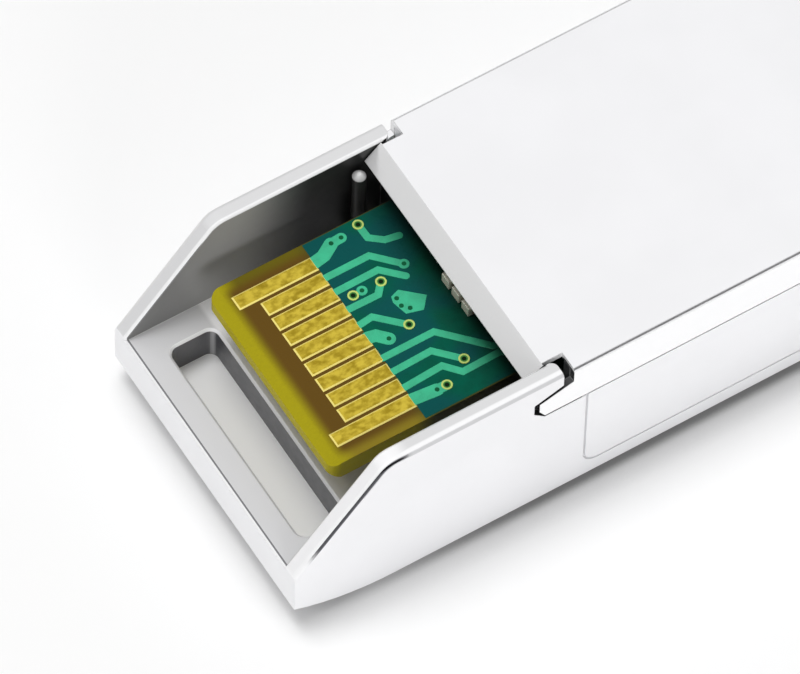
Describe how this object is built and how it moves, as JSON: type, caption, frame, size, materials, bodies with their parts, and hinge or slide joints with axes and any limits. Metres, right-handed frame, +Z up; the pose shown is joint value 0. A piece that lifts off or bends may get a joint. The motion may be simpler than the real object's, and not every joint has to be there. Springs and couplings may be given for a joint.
{
  "type": "sfp plus transceiver",
  "caption": "Slim pluggable optical transceiver with a gold card edge in a sloped metal tail, folded sheet cover, square fibre ports, spring clip and a bail that drops its latch",
  "frame": {"origin": "middle of the length and width, on the flat face that the part lies on", "axes": "+X runs from the card edge to the fibre ports, +Z is up through the connector opening, +Y completes the right-handed frame"},
  "size_m": [0.0564, 0.0142, 0.009],
  "materials": {
    "cast_nickel": "satin nickel plate on a die casting",
    "sheet_nickel": "smooth nickel plate on folded sheet",
    "spring_steel": "bright spring sheet",
    "bail_nickel": "satin nickel plate",
    "turned_steel": "turned steel",
    "board_green": "solder mask over laminate, bare laminate at the card edge",
    "contact_gold": "hard gold plate",
    "can_gold": "gold-plated header and cap",
    "chip_ceramic": "fired ceramic",
    "solder_tin": "tinned ends",
    "package_black": "moulded package",
    "pad_grey": "soft gap filler",
    "sleeve_white": "zirconia ceramic",
    "flex_amber": "polyimide film",
    "clamp_black": "moulded plastic",
    "insert_black": "moulded plastic"
  },
  "bodies": {
    "housing": {"base_housing": "cast_nickel", "cover": "sheet_nickel", "emi_clip": "spring_steel", "circuit_board": "board_green", "contacts_upper": "contact_gold", "contacts_lower": "contact_gold", "chip_bodies": "chip_ceramic", "chip_ends": "solder_tin", "controller_ic": "package_black", "amplifier_ic": "package_black", "driver_ic": "package_black", "thermal_pad": "pad_grey", "tosa_can": "can_gold", "tosa_barrel": "turned_steel", "tosa_sleeve": "sleeve_white", "tosa_flex": "flex_amber", "rosa_can": "can_gold", "rosa_barrel": "turned_steel", "rosa_sleeve": "sleeve_white", "rosa_flex": "flex_amber", "osa_clamp": "clamp_black", "port_insert": "insert_black", "rocker_pin": "turned_steel", "latch_spring": "spring_steel"},
    "bail": {"bail": "bail_nickel"},
    "latch": {"latch_rocker": "cast_nickel"}
  },
  "joints": [
    {"name": "bail_swing", "type": "hinge", "parent": "housing", "child": "bail", "pos_m": [0.02495, 0, 0.00756], "axis": [0, -1, 0], "range_deg": [0, 90]},
    {"name": "latch_rock", "type": "hinge", "parent": "housing", "child": "latch", "pos_m": [0.02205, 0, 0.0079], "axis": [0, -1, 0], "range_deg": [0, 6], "deforming": ["latch_spring"]}
  ],
  "couplings": [
    {"joint": "latch_rock", "follows": "bail_swing", "ratio": 0.066667}
  ]
}
